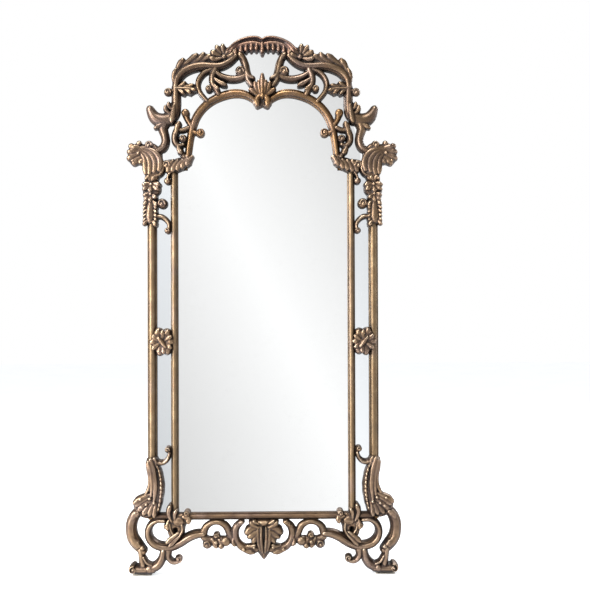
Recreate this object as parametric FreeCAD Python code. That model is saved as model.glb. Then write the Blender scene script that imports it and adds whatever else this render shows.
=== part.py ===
"""Ornate full-length floor mirror: gilt mouldings, pierced scrollwork, mirror panes, wooden rear frame.

Millimetres. +Z up, the front faces -Y. X = 0 is the plane of symmetry and Z = 0 the floor.
The front faces of all the mirror panes lie in the plane Y = 0. Each STEP file is one node.
"""
import FreeCAD, Part
import math
import os

os.makedirs("parts", exist_ok=True)
V = FreeCAD.Vector

# Driving dimensions
height = 2160.0
outer_stile_x = 444.0          # centre line of each outer stile
outer_stile_width = 38.0
inner_stile_x = 355.0
inner_stile_width = 30.0
rail_bottom = 219.0            # bottom rail, seen from the front
rail_top = 248.0
shoulder_z = 1640.0            # where the stiles end and the crest begins
glass_thickness = 5.0
panel_thickness = 6.0
moulding_depth = 27.0          # stiles, rail and arch stand this far in front of the glass
rear_frame_back = 41.0
pad_thickness = 3.0
wire_radius = 2.0              # D-ring wire
running_clearance = 0.3        # between the D-ring and its strap
strap_thickness = 1.5
fit_gap = 0.5                  # between a pane or panel and the wood around it

# Values worked out from them
panel_front = glass_thickness
panel_back = glass_thickness + panel_thickness
stile_outer_face = outer_stile_x + outer_stile_width / 2
rear_stile_inner = outer_stile_x - 7.0
rear_rail_z = rail_bottom + 17.0
glass_bottom = rear_rail_z + fit_gap
panel_half_width = rear_stile_inner - fit_gap
main_glass_half = inner_stile_x - 2.5
top_rail_bottom = shoulder_z - 50.0
top_rail_top = shoulder_z + 10.0
panel_joint_z = (top_rail_bottom + top_rail_top) / 2
eye_radius = wire_radius + running_clearance + strap_thickness
rearmost = rear_frame_back + 2 * eye_radius
relief_front = -rearmost       # the deepest carving stands as far forward as the hardware stands back

nodes = {}


# Outlines and simple solids -------------------------------------------------------------------

def box(x0, x1, y0, y1, z0, z1):
    return Part.makeBox(x1 - x0, y1 - y0, z1 - z0, V(x0, y0, z0))


def disc(x, z, radius, front, back):
    """A round boss with its axis along Y."""
    return Part.makeCylinder(radius, back - front, V(x, front, z), V(0, 1, 0))


def curve_through(points):
    if len(points) == 2:
        return Part.LineSegment(points[0], points[1]).toShape()
    curve = Part.BSplineCurve()
    curve.interpolate(points)
    return curve.toShape()


def slab(edges, front, back):
    """The solid between front and back over a closed outline."""
    face = Part.Face(Part.Wire(Part.sortEdges(edges)[0]))
    return face.extrude(V(0, back - front, 0))


def band(stations, front, back):
    """A smooth band with round ends. Each station is x, z and the band's width there."""
    centres = [V(x, front, z) for x, z, _ in stations]
    left, right = [], []
    directions = []
    for i, (centre, (_, _, width)) in enumerate(zip(centres, stations)):
        along = centres[min(i + 1, len(centres) - 1)] - centres[max(i - 1, 0)]
        along.normalize()
        across = V(-along.z, 0, along.x) * (width / 2)
        left.append(centre + across)
        right.append(centre - across)
        directions.append(along)
    start = centres[0] - directions[0] * (stations[0][2] / 2)
    end = centres[-1] + directions[-1] * (stations[-1][2] / 2)
    edges = [
        curve_through(left),
        Part.Arc(left[-1], end, right[-1]).toShape(),
        curve_through(right),
        Part.Arc(right[0], start, left[0]).toShape(),
    ]
    return slab(edges, front, back)


def leaf(points, front, back, bulge=0.16):
    """A scalloped outline: each side between two neighbouring points bows outward."""
    area = sum(a[0] * b[1] - b[0] * a[1] for a, b in zip(points, points[1:] + points[:1]))
    outward = 1.0 if area > 0 else -1.0
    edges = []
    for (x0, z0), (x1, z1) in zip(points, points[1:] + points[:1]):
        reach = outward * bulge
        middle = V((x0 + x1) / 2 + reach * (z1 - z0), front, (z0 + z1) / 2 - reach * (x1 - x0))
        edges.append(Part.Arc(V(x0, front, z0), middle, V(x1, front, z1)).toShape())
    return slab(edges, front, back)


def polygon(points, front, back):
    corners = [V(x, front, z) for x, z in points]
    return Part.Face(Part.makePolygon(corners + corners[:1])).extrude(V(0, back - front, 0))


def with_mirror_image(points):
    """An outline on the left, and its mirror image back to the first point on the right."""
    return points + [(-x, z) for x, z in reversed(points) if x != 0]


def fused(shapes):
    return shapes[0].multiFuse(shapes[1:]).removeSplitter() if len(shapes) > 1 else shapes[0]


def mirrored(shape):
    return shape.mirror(V(0, 0, 0), V(1, 0, 0))


def moulding_profile(width):
    """Half section of a stile or rail: a flat fillet each side of a round crown."""
    fillet = 0.14 * width
    shoulder = 0.35 * moulding_depth
    half = width / 2
    return half, half - fillet, shoulder


def moulding(width, length):
    """A straight moulding along +Z from the origin, its back at Y = 0."""
    half, crown, shoulder = moulding_profile(width)
    left, right = V(-half, 0, 0), V(half, 0, 0)
    left_lip, right_lip = V(-half, -shoulder, 0), V(half, -shoulder, 0)
    left_crown, right_crown = V(-crown, -shoulder, 0), V(crown, -shoulder, 0)
    edges = [
        Part.LineSegment(right, left).toShape(),
        Part.LineSegment(left, left_lip).toShape(),
        Part.LineSegment(left_lip, left_crown).toShape(),
        Part.Arc(left_crown, V(0, -moulding_depth, 0), right_crown).toShape(),
        Part.LineSegment(right_crown, right_lip).toShape(),
        Part.LineSegment(right_lip, right).toShape(),
    ]
    return Part.Face(Part.Wire(edges)).extrude(V(0, 0, length))


# Placing nodes --------------------------------------------------------------------------------

def add(name, shape):
    """Stores a node, cut back where earlier nodes already stand, without the crumbs that leaves."""
    for other in nodes.values():
        if shape.BoundBox.intersect(other.BoundBox) and shape.common(other).Volume > 1e-3:
            shape = shape.cut(other)
    largest = max(solid.Volume for solid in shape.Solids)
    pieces = [solid for solid in shape.Solids if solid.Volume > 0.04 * largest]
    nodes[name] = pieces[0] if len(pieces) == 1 else Part.makeCompound(pieces)


def clear_of_rear(shape):
    """Keeps a carving that runs back past the glass out of the space of the panes and the rear frame."""
    x = stile_outer_face
    return shape.cut(box(-x, x, 0, rearmost, rail_bottom, shoulder_z + 100))


def add_group(name, solids):
    """Stores several separate solids as one node."""
    nodes[name] = Part.makeCompound(solids)


def add_pair(name, left_shape):
    """Stores a left-hand node and its mirror image."""
    add(name + "_left", left_shape)
    nodes[name + "_right"] = mirrored(nodes[name + "_left"])


# Mirror panes and back panels -------------------------------------------------------------------

# The arch, on the left of centre: centre line and width of its moulding
arch = [
    (-20, 1892, 27), (-45, 1913, 31), (-76, 1926, 34), (-112, 1929, 35),
    (-160, 1919, 35), (-204, 1898, 34), (-240, 1868, 32), (-264, 1832, 31),
    (-278, 1795, 30), (-289, 1755, 28), (-296, 1715, 28), (-301, 1668, 28),
]
# The outside of the pane behind the pierced crest, hidden behind the crest arm and the S-stem
crest_pane = [
    (-395, 1655), (-395, 1700), (-380, 1755), (-364, 1810), (-352, 1860), (-346, 1950), (-343, 2000),
    (-315, 2040), (-250, 2058), (-165, 2072), (-100, 2108), (-40, 2130), (0, 2125),
]
pane_gap = 3.0


def arch_region(extra):
    """The region under the arch's centre line, grown by extra, down to the shoulders."""
    line = [(x - extra * min(1, -x / 200), z + extra) for x, z, _ in arch]
    left = [(-301 - extra, panel_joint_z)] + line[::-1] + [(0, 1884 + extra)]
    return polygon(with_mirror_image(left), 0, glass_thickness)


def make_panes():
    main = box(-main_glass_half, main_glass_half, 0, glass_thickness, glass_bottom, panel_joint_z)
    add("main_mirror_glass", fused([main, arch_region(0)]))
    strip_edge = inner_stile_x + 2.5
    strip = box(-panel_half_width, -strip_edge, 0, glass_thickness, glass_bottom, panel_joint_z)
    add_pair("side_mirror_glass", strip)
    crest = polygon(with_mirror_image(crest_pane), 0, glass_thickness)
    nodes["crest_mirror_glass"] = crest.cut(arch_region(pane_gap))
    nodes["main_back_panel"] = box(
        -panel_half_width, panel_half_width, panel_front, panel_back, glass_bottom, panel_joint_z)
    left = [(-395, panel_joint_z + pane_gap)] + crest_pane
    nodes["crest_back_panel"] = polygon(with_mirror_image(left), panel_front, panel_back)


# Rear frame -------------------------------------------------------------------------------------

bead_width = 12.0
mid_rail_z = 930.0
mid_rail_height = 50.0
brace = [
    (-372, 1650, 40), (-356, 1720, 40), (-344, 1800, 40), (-330, 1880, 40), (-318, 1950, 40),
    (-282, 2004, 40), (-220, 2034, 40), (-140, 2060, 40), (-60, 2094, 40), (0, 2106, 40),
]
bumper_at = (-300, 1986)
bumper_radius = 9.0


def make_rear_frame():
    inner = rear_stile_inner
    add_pair("rear_stile", box(-stile_outer_face, -inner, 0, rear_frame_back, rail_bottom, shoulder_z))
    lower = box(-inner, inner, 0, rear_frame_back, rail_bottom, rear_rail_z)
    upper = box(-inner, inner, panel_back, rear_frame_back, rear_rail_z, rear_rail_z + 45)
    add("rear_bottom_rail", fused([lower, upper]))
    low, high = mid_rail_z - mid_rail_height / 2, mid_rail_z + mid_rail_height / 2
    add("rear_mid_rail", box(-inner, inner, panel_back, rear_frame_back - 6, low, high))
    add("rear_top_rail", box(-inner, inner, panel_back, rear_frame_back, top_rail_bottom, top_rail_top))
    right_half = [(-x, z, width) for x, z, width in reversed(brace[:-1])]
    add("crest_brace", band(brace + right_half, panel_back, rear_frame_back))
    sticks = []
    for z0, z1 in ((rear_rail_z + 45, low), (high, top_rail_bottom)):
        left = box(-inner, bead_width - inner, panel_back, panel_back + bead_width, z0, z1)
        sticks += [left, mirrored(left)]
    add_group("panel_beads", sticks)


# Straight mouldings and the arch ----------------------------------------------------------------

def make_mouldings():
    rail = moulding(rail_top - rail_bottom, 2 * rear_stile_inner)
    rail.rotate(V(0, 0, 0), V(0, 1, 0), 90)
    rail.translate(V(-rear_stile_inner, 0, (rail_top + rail_bottom) / 2))
    add("bottom_rail", rail)
    inner = moulding(inner_stile_width, 1612 - rail_top)
    inner.translate(V(-inner_stile_x, 0, rail_top))
    tongue = box(-inner_stile_x - 2, -inner_stile_x + 2, -2, glass_thickness, rail_top, 1612)
    add_pair("inner_stile", fused([inner, tongue]))
    outer = moulding(outer_stile_width, shoulder_z - 440)
    outer.translate(V(-outer_stile_x, 0, 440))
    add_pair("outer_stile", outer)
    left = fused([
        band(arch, -moulding_depth, 0),
        disc(-254, 1770, 18, -moulding_depth - 5, 0),
        band([(-284, 1796, 22), (-300, 1820, 20), (-308, 1843, 25)], -moulding_depth, 0),
    ])
    bridge = box(-22, 22, -moulding_depth, 0, 1880, 1902)
    add("arch_moulding", fused([left, bridge, mirrored(left)]))


# Crest ------------------------------------------------------------------------------------------

def make_crest_palmette():
    left = [
        (0, 2008), (-13, 1983), (-24, 1991), (-36, 1999), (-38, 1978),
        (-60, 1967), (-44, 1946), (-22, 1925), (0, 1870),
    ]
    body = leaf(with_mirror_image(left), -46, 0, 0.08)
    curls = [disc(side * 18, 1878, 16, relief_front, 0) for side in (-1, 1)]
    add("crest_palmette", fused([body] + curls))


def make_crest_shell():
    left = [
        (-122, height - 56, 34), (-97, height - 41, 44), (-66, height - 31, 54), (-36, height - 29, 57),
        (-12, height - 36, 59),
    ]
    right = [(-x, z, width) for x, z, width in reversed(left)]
    add("crest_shell", band(left + right, -44, 0))


def make_crest_arm():
    tube = [
        (-346, 1958, 38), (-341, 1985, 42), (-322, 2016, 46), (-285, 2039, 48), (-240, 2050, 49),
        (-200, 2050, 46), (-165, 2050, 42), (-132, 2064, 34), (-108, 2078, 28),
    ]
    flower = [
        (-212, 2060), (-206, 2082), (-196, 2099), (-180, 2112), (-160, 2118), (-140, 2113), (-124, 2102),
        (-118, 2080), (-132, 2060), (-170, 2052),
    ]
    tips = [
        leaf([(-208, 2060), (-230, 2094), (-246, 2066)], -38, 0),
        leaf([(-240, 2064), (-257, 2088), (-278, 2058)], -38, 0),
        leaf([(-286, 2052), (-316, 2070), (-330, 2036)], -38, 0),
    ]
    add_pair("crest_arm", fused([band(tube, -40, 0), leaf(flower, -46, 0)] + tips))


def make_lyre_scroll():
    upright = [
        (-88, 2094, 20), (-77, 2064, 22), (-72, 2036, 23),
        (-66, 2010, 24), (-54, 1988, 24), (-40, 1970, 20),
    ]
    smile = [(-188, 2012, 20), (-157, 1994, 21), (-120, 1985, 21), (-86, 1989, 21), (-62, 2002, 20)]
    curl = disc(-91, 2012, 16, -40, 0)
    add_pair("lyre_scroll", fused([band(upright, -36, 0), band(smile, -34, 0), curl]))


def make_crescent_scroll():
    crescent = [
        (-200, 2026, 18), (-232, 2011, 19), (-252, 1989, 19),
        (-259, 1963, 19), (-253, 1938, 19), (-234, 1912, 20),
    ]
    stem = [(-186, 2024, 26), (-196, 1992, 27), (-197, 1964, 27), (-184, 1946, 26)]
    flame = [(-192, 1951, 22), (-168, 1956, 16), (-146, 1962, 8)]
    serrated = [
        (-352, 1962), (-328, 1965), (-306, 1976), (-292, 1961), (-266, 1958), (-260, 1944), (-268, 1930),
        (-284, 1921), (-296, 1930), (-310, 1918), (-324, 1930), (-350, 1930),
    ]
    add_pair("crescent_scroll", fused([
        band(crescent, -34, 0), band(stem, -36, 0), band(flame, -34, 0),
        disc(-215, 1946, 12, -36, 0), leaf(serrated, -36, 0, 0.1),
    ]))


def make_shoulder_horn():
    stem = [(-349, 1952, 34), (-349, 1915, 32), (-350, 1880, 34), (-358, 1846, 42), (-380, 1824, 54)]
    horn = [(-372, 1826, 54), (-404, 1819, 56), (-432, 1831, 44), (-449, 1858, 33)]
    s_stem = [
        (-393, 1812, 50), (-399, 1786, 40), (-392, 1760, 32),
        (-389, 1737, 31), (-398, 1712, 33), (-420, 1696, 34),
    ]
    spur = [(-362, 1850), (-392, 1854), (-391, 1884), (-370, 1894)]
    add_pair("shoulder_horn", fused([
        band(stem, -38, 0), band(horn, -42, 0), band(s_stem, -38, 0), leaf(spur, -34, 0),
        band([(-346, 1940, 24), (-372, 1936, 20)], -34, 0), disc(-376, 1931, 17, -38, 0),
    ]))


def make_shoulder_hook():
    hook = [
        (-334, 1808, 16), (-342, 1784, 24), (-350, 1757, 24),
        (-349, 1730, 23), (-332, 1717, 20), (-318, 1727, 16),
    ]
    foot = [(-330, 1712, 20), (-326, 1692, 22), (-314, 1676, 24)]
    add_pair("shoulder_hook", fused([
        band(hook, -36, 0), band(foot, -30, 0), disc(-318, 1745, 15, -38, 0),
        band([(-340, 1780, 18), (-316, 1782, 20), (-298, 1790, 22)], -30, 0),
    ]))


# Ears and pendants --------------------------------------------------------------------------------

def make_ear_leaf():
    outline = [
        (-404, 1700), (-420, 1722), (-440, 1736), (-460, 1738), (-475, 1727), (-489, 1735), (-504, 1722),
        (-519, 1722), (-532, 1708), (-543, 1694), (-541, 1668), (-530, 1646), (-512, 1630), (-494, 1637),
        (-470, 1637), (-462, 1620), (-470, 1594), (-425, 1586), (-402, 1604), (-394, 1636), (-400, 1664),
    ]
    add_pair("ear_leaf", clear_of_rear(leaf(outline, -46, 8, 0.1)))


def make_elbow_leaf():
    outline = [
        (-284, 1670), (-291, 1646), (-309, 1626), (-332, 1611), (-356, 1605), (-380, 1608), (-394, 1630),
        (-398, 1656), (-384, 1664), (-356, 1664), (-330, 1672), (-316, 1684), (-298, 1690),
    ]
    stalk = [(-368, 1612, 14), (-378, 1594, 12), (-382, 1576, 12)]
    end = disc(-382, 1572, 12, -36, 0)
    add_pair("elbow_leaf", fused([leaf(outline, -40, 0, 0.08), band(stalk, -34, 0), end]))


def make_pendant():
    outline = [
        (-462, 1600), (-476, 1574), (-482, 1548), (-475, 1527), (-476, 1503), (-472, 1480), (-475, 1456),
        (-482, 1434), (-470, 1416), (-456, 1404), (-438, 1398), (-424, 1404), (-422, 1430), (-420, 1462),
        (-406, 1472), (-406, 1500), (-420, 1512), (-404, 1530), (-400, 1548), (-412, 1566), (-420, 1592),
    ]
    hook = [(-428, 1430, 14), (-403, 1434, 14), (-384, 1424, 14), (-373, 1404, 14), (-376, 1386, 13)]
    add_pair("pendant", fused([
        leaf(outline, -44, 0, 0.1), disc(-398, 1488, 19, -42, 0), band(hook, -34, 0),
        disc(-381, 1377, 12, -36, 0),
    ]))


def make_mid_rosette():
    outline = [
        (-454, 931), (-446, 958), (-431, 974), (-416, 993), (-400, 984), (-384, 990),
        (-369, 978), (-360, 956), (-356, 932), (-361, 906), (-370, 886), (-383, 875),
        (-399, 881), (-413, 873), (-430, 888), (-446, 906),
    ]
    add_pair("mid_rosette", leaf(outline, -42, 0, 0.14))


# Lower carving --------------------------------------------------------------------------------------

def make_buttress_leaf():
    outline = [
        (-458, 486), (-468, 462), (-472, 440), (-462, 414), (-459, 378), (-465, 347), (-480, 329),
        (-503, 312), (-529, 291), (-522, 266), (-498, 232), (-468, 222), (-420, 234), (-408, 270),
        (-400, 305), (-395, 345), (-396, 375), (-404, 405), (-418, 440), (-424, 470), (-438, 492),
    ]
    hook = [(-428, 462, 15), (-405, 456, 14), (-385, 467, 14), (-373, 488, 13)]
    body = clear_of_rear(leaf(outline, -44, 10, 0.07))
    add_pair("buttress_leaf", fused([body, band(hook, -34, 0), disc(-382, 502, 11, -36, 0)]))


def make_corner_leaf():
    outline = [
        (-386, 262), (-370, 288), (-357, 264), (-342, 250), (-322, 250), (-306, 261),
        (-290, 250), (-288, 236), (-296, 216), (-306, 200), (-313, 182), (-318, 150),
        (-352, 138), (-382, 148), (-397, 185), (-396, 205), (-384, 222),
    ]
    body = leaf(outline, -46, 22, 0.08).cut(disc(-350, 185, 7, relief_front, rearmost))
    add_pair("corner_leaf", clear_of_rear(body))


def make_ring_scroll():
    ring = [
        (-398, 218, 20), (-428, 218, 22), (-451, 201, 25), (-461, 174, 27),
        (-455, 145, 29), (-436, 122, 31), (-405, 111, 34), (-370, 112, 36),
        (-335, 126, 36), (-302, 146, 32), (-270, 157, 28), (-244, 160, 26),
    ]
    add_pair("ring_scroll", clear_of_rear(band(ring, -38, 38)))


def make_side_scroll():
    scroll = [
        (-496, 262, 36), (-518, 238, 40), (-530, 210, 44), (-532, 180, 44),
        (-526, 148, 44), (-508, 120, 42), (-486, 97, 36),
    ]
    add_pair("side_scroll", band(scroll, -36, 34))


def make_foot():
    outer_stem = [(-490, 102, 27), (-487, 74, 27), (-480, 44, 36)]
    inner_stem = [(-400, 98, 28), (-408, 66, 30), (-427, 36, 32), (-456, 22, 34)]
    curl = [(-386, 100, 28), (-381, 72, 26), (-366, 54, 24), (-346, 54, 20)]
    body = fused([
        band(outer_stem, -40, 36), band(inner_stem, -40, 36), band(curl, -34, 20),
        disc(-333, 66, 11, -36, 20), disc(-521, 27, 24, relief_front, 42), disc(-466, 28, 25, -46, 42),
        box(-526, -448, -44, 42, 0, 42),
    ])
    add_pair("foot", body.cut(box(-560, -300, -60, 60, -10, pad_thickness)))


def make_apron_scroll():
    arch_over = [
        (-237, 160, 22), (-230, 184, 15), (-211, 204, 13), (-187, 211, 13),
        (-163, 203, 14), (-149, 182, 16), (-142, 158, 20), (-132, 136, 26),
    ]
    under = [(-238, 152, 28), (-219, 139, 34), (-186, 134, 40), (-152, 138, 36), (-130, 148, 26)]
    big_c = [
        (-98, 208, 20), (-112, 186, 24), (-114, 156, 26), (-103, 129, 28), (-84, 111, 32), (-58, 102, 34),
        (-32, 104, 34),
    ]
    knobs = [disc(-226, 118, 16, -32, 12), disc(-184, 117, 20, -34, 12), disc(-195, 158, 13, -32, 12)]
    scrolls = [band(arch_over, -30, 12), band(under, -32, 12), band(big_c, -34, 12)]
    add_pair("apron_scroll", fused(scrolls + knobs))


def make_apron_palmette():
    left = [
        (0, 224), (-32, 220), (-44, 200), (-66, 192), (-78, 158), (-58, 146), (-46, 122), (-34, 106),
        (-27, 86), (-14, 76), (0, 58),
    ]
    add("apron_palmette", leaf(with_mirror_image(left), -44, 14, 0.07))


# Hardware on the back ---------------------------------------------------------------------------------

ring_x = outer_stile_x + 6.0    # the straps sit on the rear stiles
ring_z = 1480.0                # height of the rings' hinge axis
strap_width = 15.0
strap_length = 50.0
eye_y = rear_frame_back + eye_radius
ring_half_width = 13.0
ring_leg = 12.0
screw_shank = 1.9
screw_head = 3.6
screw_head_height = 1.5
screw_length = 16.0
strap_holes = [ring_z + 14.0, ring_z + 40.0]


def tube_along(start, end, radius):
    direction = end - start
    return Part.makeCylinder(radius, direction.Length, start, direction)


def make_d_ring():
    """The ring at rest: its bar through the strap's eye, its bow hanging below."""
    low = ring_z - ring_leg
    corners = [V(-ring_x + side * ring_half_width, eye_y, ring_z) for side in (-1, 1)]
    feet = [V(-ring_x + side * ring_half_width, eye_y, low) for side in (-1, 1)]
    torus = Part.makeTorus(ring_half_width, wire_radius, V(-ring_x, eye_y, low), V(0, 1, 0))
    bow = torus.common(box(-ring_x - 30, -ring_x + 30, 0, 60, low - 30, low))
    parts = [bow, tube_along(corners[0], corners[1], wire_radius)]
    for corner, foot in zip(corners, feet):
        parts.append(tube_along(corner, foot, wire_radius))
        parts.append(Part.makeSphere(wire_radius, corner))
    return fused(parts)


def make_strap():
    """A plate with two screw holes, rolled into an eye at its lower end."""
    half = strap_width / 2
    outside = rear_frame_back + strap_thickness
    plate = box(-ring_x - half, -ring_x + half, rear_frame_back, outside, ring_z, ring_z + strap_length)
    start = V(-ring_x - half, eye_y, ring_z)
    eye = Part.makeCylinder(eye_radius, strap_width, start, V(1, 0, 0))
    bore = Part.makeCylinder(wire_radius + running_clearance, strap_width, start, V(1, 0, 0))
    strap = plate.fuse(eye).cut(bore)
    for z in strap_holes:
        strap = strap.cut(disc(-ring_x, z, screw_shank, rear_frame_back, outside))
    return strap.removeSplitter()


def screw(x, z, seat):
    """A pan-head screw whose head rests on the plane Y = seat."""
    head = disc(x, z, screw_head, seat, seat + screw_head_height)
    return head.fuse(disc(x, z, screw_shank, seat - screw_length, seat)).removeSplitter()


def make_hardware():
    left_strap = make_strap()
    add_group("hanger_straps", [left_strap, mirrored(left_strap)])
    add_pair("d_ring", make_d_ring())
    seat = rear_frame_back + strap_thickness
    screws = []
    places = [(-ring_x, z, seat) for z in strap_holes]
    rail_z = (top_rail_bottom + top_rail_top) / 2
    for x in (-360, -120):
        places.append((x, rail_z, rear_frame_back))
        places.append((x, rear_rail_z + 22, rear_frame_back))
        places.append((x, mid_rail_z, rear_frame_back - 6))
    for x, z, level in places:
        screws += [screw(x, z, level), screw(-x, z, level)]
    rails = ["rear_top_rail", "rear_mid_rail", "rear_bottom_rail"]
    for name in ["rear_stile_left", "rear_stile_right"] + rails:
        for one in screws:
            if one.BoundBox.intersect(nodes[name].BoundBox):
                nodes[name] = nodes[name].cut(one)
    add_group("back_screws", screws)
    x, z = bumper_at
    bumper = disc(x, z, bumper_radius, rear_frame_back, rearmost)
    add_group("wall_bumpers", [bumper, mirrored(bumper)])
    pad = box(-526, -448, -42, 38, 0, pad_thickness)
    add_group("foot_pads", [pad, mirrored(pad)])


def main():
    make_panes()
    make_rear_frame()
    make_mouldings()
    make_crest_palmette()
    make_apron_palmette()
    make_crest_shell()
    make_elbow_leaf()
    make_mid_rosette()
    make_buttress_leaf()
    make_shoulder_horn()
    make_crest_arm()
    make_lyre_scroll()
    make_crescent_scroll()
    make_shoulder_hook()
    make_ear_leaf()
    make_pendant()
    make_corner_leaf()
    make_ring_scroll()
    make_side_scroll()
    make_foot()
    make_apron_scroll()
    make_hardware()
    whole = Part.makeCompound(list(nodes.values())).BoundBox
    print("box", whole)
    for name, shape in nodes.items():
        shape.exportStep("parts/" + name + ".step")
        state = "valid" if shape.isValid() else "BAD"
        print(name, len(shape.Solids), round(shape.Volume / 1000, 1), "cm3", state)
    print(len(nodes), "nodes")


main()
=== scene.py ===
"""Looks of the ornate floor mirror: carved gilt ornament, mouldings, mirror panes and the wooden back.

The carving is laid out in millimetres in the CAD frame: x to the right, z up from the floor, y away from the
viewer. Everything is turned into metres when a mesh is made.
"""
import math

import bpy
import numpy as np
from mathutils import Euler, Matrix, Vector
from mathutils.geometry import delaunay_2d_cdt


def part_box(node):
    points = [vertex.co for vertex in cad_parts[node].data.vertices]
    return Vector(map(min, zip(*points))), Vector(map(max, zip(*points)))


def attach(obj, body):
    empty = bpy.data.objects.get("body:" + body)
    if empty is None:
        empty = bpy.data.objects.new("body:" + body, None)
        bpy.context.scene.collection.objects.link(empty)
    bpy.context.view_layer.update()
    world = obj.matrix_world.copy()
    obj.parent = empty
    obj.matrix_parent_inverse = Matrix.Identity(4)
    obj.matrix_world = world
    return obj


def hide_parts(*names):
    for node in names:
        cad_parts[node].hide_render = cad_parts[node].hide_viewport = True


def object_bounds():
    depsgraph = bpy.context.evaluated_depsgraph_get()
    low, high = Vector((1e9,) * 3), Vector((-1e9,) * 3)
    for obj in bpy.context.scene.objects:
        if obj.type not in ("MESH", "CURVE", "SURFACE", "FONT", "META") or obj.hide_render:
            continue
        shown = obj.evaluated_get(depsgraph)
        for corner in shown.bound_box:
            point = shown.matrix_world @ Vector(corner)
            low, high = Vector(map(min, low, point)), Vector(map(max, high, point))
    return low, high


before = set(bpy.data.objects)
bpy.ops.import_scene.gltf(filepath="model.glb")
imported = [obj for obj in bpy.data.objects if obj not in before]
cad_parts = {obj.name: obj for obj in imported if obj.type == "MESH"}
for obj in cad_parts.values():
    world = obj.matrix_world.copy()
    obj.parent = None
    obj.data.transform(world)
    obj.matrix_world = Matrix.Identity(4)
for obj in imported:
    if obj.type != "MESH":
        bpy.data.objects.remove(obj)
cad_low, cad_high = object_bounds()

MM = 0.001
GLASS_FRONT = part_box("main_mirror_glass")[0][1] / MM
FOREMOST = cad_low[1] / MM + 1.0     # mm, as far forward as a leaf may rise
VOXEL = 1.9                          # mm, the grain of a carved piece
LEAF_GRID = 2.7                      # mm between the points of a leafy mass
LEAF_RIM = 0.02                      # mm, how thin a leafy mass runs out
SOLE_LEVEL = 3.2                     # mm, the feet end here, on their felt pads
FOOT_PAD_LENGTH = 78.0               # mm, along x

# The rings that round off a line's end, in radians.
BLUNT_END = np.array([0.35, 0.7, 1.0, 1.25, 1.45])
# A leaflet's stations: share of its length, of its width and of its lift.
LEAFLET = ((0, 0.5, -0.8), (0.3, 0.78, -0.1), (0.62, 0.97, 0.5), (0.85, 1.0, 1.0), (1, 0.7, 0.9))


# ---- Lines and sections ----

def travelled(points):
    """How far along a line each of its points lies."""
    steps = np.linalg.norm(np.diff(points[:, :2], axis=0), axis=1)
    return np.concatenate([[0.0], np.cumsum(steps)])


def through(points, spacing):
    """A smooth line through the points, evenly sampled. Any columns after x and z are smoothed alike."""
    p = np.asarray(points, float)
    t = travelled(p)
    slope = np.gradient(p, t, axis=0)
    s = np.linspace(0, t[-1], max(3, int(t[-1] / spacing) + 1))
    k = np.clip(np.searchsorted(t, s, side="right") - 1, 0, len(t) - 2)
    h = (t[k + 1] - t[k])[:, None]
    u = (s - t[k])[:, None] / h
    line = (2 * u**3 - 3 * u**2 + 1) * p[k] + (u**3 - 2 * u**2 + u) * h * slope[k]
    return line + (3 * u**2 - 2 * u**3) * p[k + 1] + (u**3 - u**2) * h * slope[k + 1]


def edge(u, power):
    """Height of a superellipse over u from -1 to 1."""
    return (1 - np.abs(u) ** power).clip(0) ** (1 / power)


# A form is the section of a swept shape. From the travel s along a line of some length, and the place u
# across it from -1 to 1, it gives the place that u is moved to and the height there, from 0 to 1.

def domed(power):
    """A plain section: round at a power of 2, and fuller, with a flatter top, at a higher one."""
    return lambda s, u, length: (u, edge(u, power))


rounded, plump, softened = domed(2.0), domed(2.7), domed(3.6)


def lipped(s, u, length):
    """A round tube with a fine groove near each edge."""
    groove = np.exp(-(((np.abs(u) - 0.66) / 0.09) ** 2))
    return u, edge(u, 2.1) * (1 - 0.14 * groove)


def reeded(s, u, length):
    """Two shallow reeds along the whole length."""
    reeds = np.abs(np.cos(np.pi * (u + 1))) ** 0.7
    return u, edge(u, 3) * (0.9 + 0.1 * reeds)


def beaded(s, u, length):
    """A row of beads that nearly touch, 17 mm apart."""
    waist = 1 - np.abs(np.sin(np.pi * max(1, round(length / 17)) * s / length)) ** 0.6
    return u * (1 - 0.08 * waist), edge(u, 2.0) * (1 - 0.16 * waist)


def moulded(s, u, length):
    """A gilt moulding's section: a fine bead at each edge, a quirk, and a round crown between."""
    a = np.abs(u)
    crown = 0.42 + 0.58 * edge((a / 0.7).clip(0, 1), 2.2)
    bead = 0.36 + 0.16 * edge(((a - 0.85) / 0.13).clip(-1, 1), 2)
    return u, np.where(a < 0.7, crown, bead) * edge(u, 14)


# ---- Shells: closed surfaces, each a list of points in mm and a list of faces ----

def skin(rows, columns):
    """The faces over a stack of rings, rows of them with columns points each, and over its two ends."""
    i, j = np.meshgrid(np.arange(rows - 1), np.arange(columns), indexing="ij")
    a, b = i * columns + j, i * columns + (j + 1) % columns
    quads = np.stack([a, a + columns, b + columns, b], axis=-1).reshape(-1, 4)
    first = list(range(columns))
    last = [(rows - 1) * columns + corner for corner in reversed(first)]
    return quads.tolist() + [first, last]


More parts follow.
